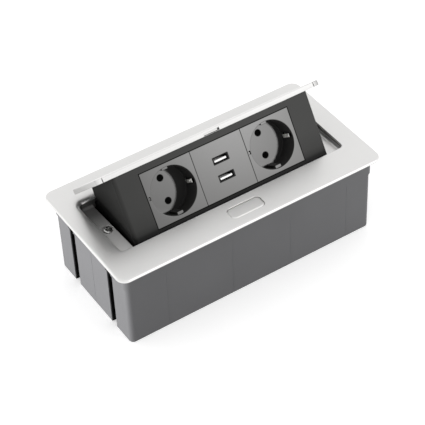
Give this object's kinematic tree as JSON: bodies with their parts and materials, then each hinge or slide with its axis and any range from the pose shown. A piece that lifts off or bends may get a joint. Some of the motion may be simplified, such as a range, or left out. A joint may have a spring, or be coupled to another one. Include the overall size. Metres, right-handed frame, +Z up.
{
  "type": "desk power strip",
  "caption": "Flush desk power box whose sprung, damped module tilts up from its rim to show earthed mains sockets and USB ports under a lid.",
  "frame": {"origin": "centre of the casing's base, with the module tilted open", "axes": "+X along the strip, -Y towards the release button and the socket face, +Z up out of the desk"},
  "size_m": [0.243, 0.121, 0.1219],
  "materials": {
    "silver_metal": "satin",
    "casing_plastic": "fine textured",
    "module_plastic": "fine textured",
    "plate_plastic": "smooth matt",
    "black_plastic": "matt",
    "acetal": "smooth",
    "white_plastic": "smooth",
    "cream_plastic": "smooth",
    "rubber": "matt",
    "zinc_steel": "zinc plated",
    "spring_steel": "bright drawn",
    "plated_contact": "nickel plated",
    "brass": "natural",
    "bronze": "sintered",
    "board": "solder mask",
    "winding_tape": "taped",
    "capacitor_sleeve": "shrink sleeve"
  },
  "bodies": {
    "housing": {"bezel": "silver_metal", "rim_seal": "rubber", "bezel_screws": "zinc_steel", "casing_front": "casing_plastic", "casing_rear": "casing_plastic", "casing_ends": "casing_plastic", "clamp_channels": "black_plastic", "casing_posts": "casing_plastic", "hinge_brackets": "casing_plastic", "damper_mount": "casing_plastic", "bottom_cover": "casing_plastic", "cover_screws": "zinc_steel", "cable_grommet": "rubber", "hinge_pins": "zinc_steel", "stop_pads": "rubber", "latch_guide": "black_plastic", "guide_screws": "zinc_steel", "damper_body": "black_plastic", "damper_screws": "zinc_steel", "hinge_spring": "spring_steel", "button_springs": "spring_steel", "bolt_spring": "spring_steel"},
    "pop_up_module": {"lid_panel": "silver_metal", "lid_carrier": "module_plastic", "lid_screws": "zinc_steel", "module_housing": "module_plastic", "rear_cover": "module_plastic", "rear_cover_screws": "zinc_steel", "lead_grommet": "rubber", "hinge_bushes": "bronze", "damper_sector": "acetal", "sector_screws": "zinc_steel", "socket_insert_left": "plate_plastic", "socket_insert_right": "plate_plastic", "earth_clip_left": "plated_contact", "earth_clip_right": "plated_contact", "line_busbar": "brass", "neutral_busbar": "brass", "earth_busbar": "brass", "terminal_block": "cream_plastic", "terminal_screws": "zinc_steel", "usb_plate": "plate_plastic", "usb_shells": "black_plastic", "usb_tongues": "white_plastic", "usb_housing": "black_plastic", "usb_board": "board", "usb_transformer": "winding_tape", "usb_capacitor": "capacitor_sleeve"},
    "release_button": {"button": "silver_metal"},
    "latch": {"latch_bolt": "black_plastic"},
    "damper_gear": {"damper_pinion": "acetal"}
  },
  "joints": [
    {"name": "module_hinge", "type": "hinge", "parent": "housing", "child": "pop_up_module", "pos_m": [0, 0.0439, 0.0577], "axis": [1, 0, 0], "range_deg": [0, 44.15], "stiffness_Nm_per_rad": 0.25, "springref_deg": -80.21, "deforming": ["hinge_spring"]},
    {"name": "damper_spin", "type": "hinge", "parent": "housing", "child": "damper_gear", "pos_m": [0, 0.02622, 0.04002], "axis": [1, 0, 0], "range_deg": [-178, 1]},
    {"name": "button_press", "type": "slide", "parent": "housing", "child": "release_button", "axis": [0, 0, -1], "range_m": [0, 0.002], "stiffness_N_per_m": 500, "springref_m": -0.002, "deforming": ["button_springs"]},
    {"name": "latch_slide", "type": "slide", "parent": "housing", "child": "latch", "axis": [0, -1, 0], "range_m": [0, 0.002], "deforming": ["bolt_spring"]}
  ],
  "couplings": [
    {"joint": "damper_spin", "follows": "module_hinge", "ratio": -4},
    {"joint": "latch_slide", "follows": "button_press", "ratio": 1}
  ]
}
